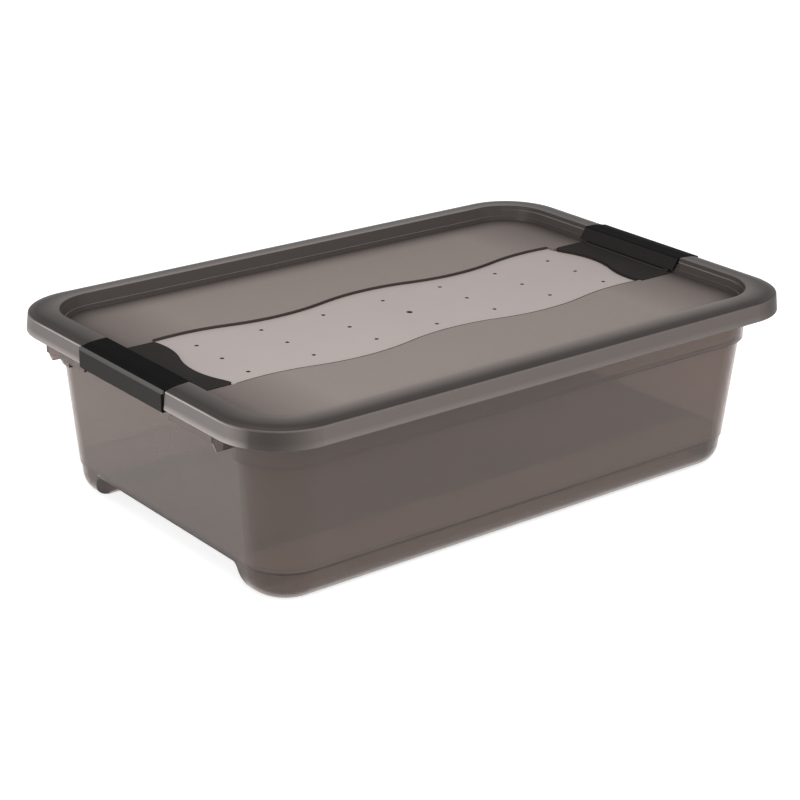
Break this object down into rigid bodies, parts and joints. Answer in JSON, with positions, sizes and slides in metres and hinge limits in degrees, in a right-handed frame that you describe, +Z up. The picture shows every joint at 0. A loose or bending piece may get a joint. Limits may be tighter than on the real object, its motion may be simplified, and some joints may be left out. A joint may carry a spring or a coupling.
{
  "type": "storage box",
  "caption": "Shallow tapered translucent storage box with a recessed lid, a wavy vent strip along the lid and hinged rim clips on the short sides.",
  "frame": {"origin": "on the floor, under the middle of the box", "axes": "X along the long side, Y along the short side, Z up"},
  "size_m": [0.598, 0.3948, 0.17],
  "materials": {
    "tub_plastic": "smoky translucent moulded plastic",
    "lid_plastic": "smoky translucent moulded plastic with a fine grain",
    "strip_plastic": "smooth light pinkish grey",
    "clip_plastic": "satin black"
  },
  "bodies": {
    "tub": {"tub": "tub_plastic"},
    "lid": {"lid": "lid_plastic", "vent_strip": "strip_plastic", "clip_plate_left": "clip_plastic", "clip_plate_right": "clip_plastic"},
    "clip_left": {"clip_lever_left": "clip_plastic"},
    "clip_right": {"clip_lever_right": "clip_plastic"}
  },
  "joints": [
    {"name": "lid_lift", "type": "slide", "parent": "tub", "child": "lid", "axis": [0, 0, 1], "range_m": [0, 0.25]},
    {"name": "clip_left_hinge", "type": "hinge", "parent": "lid", "child": "clip_left", "pos_m": [-0.264, 0, 0.157], "axis": [0, 1, 0], "range_deg": [0, 90]},
    {"name": "clip_right_hinge", "type": "hinge", "parent": "lid", "child": "clip_right", "pos_m": [0.264, 0, 0.157], "axis": [0, -1, 0], "range_deg": [0, 90]}
  ]
}
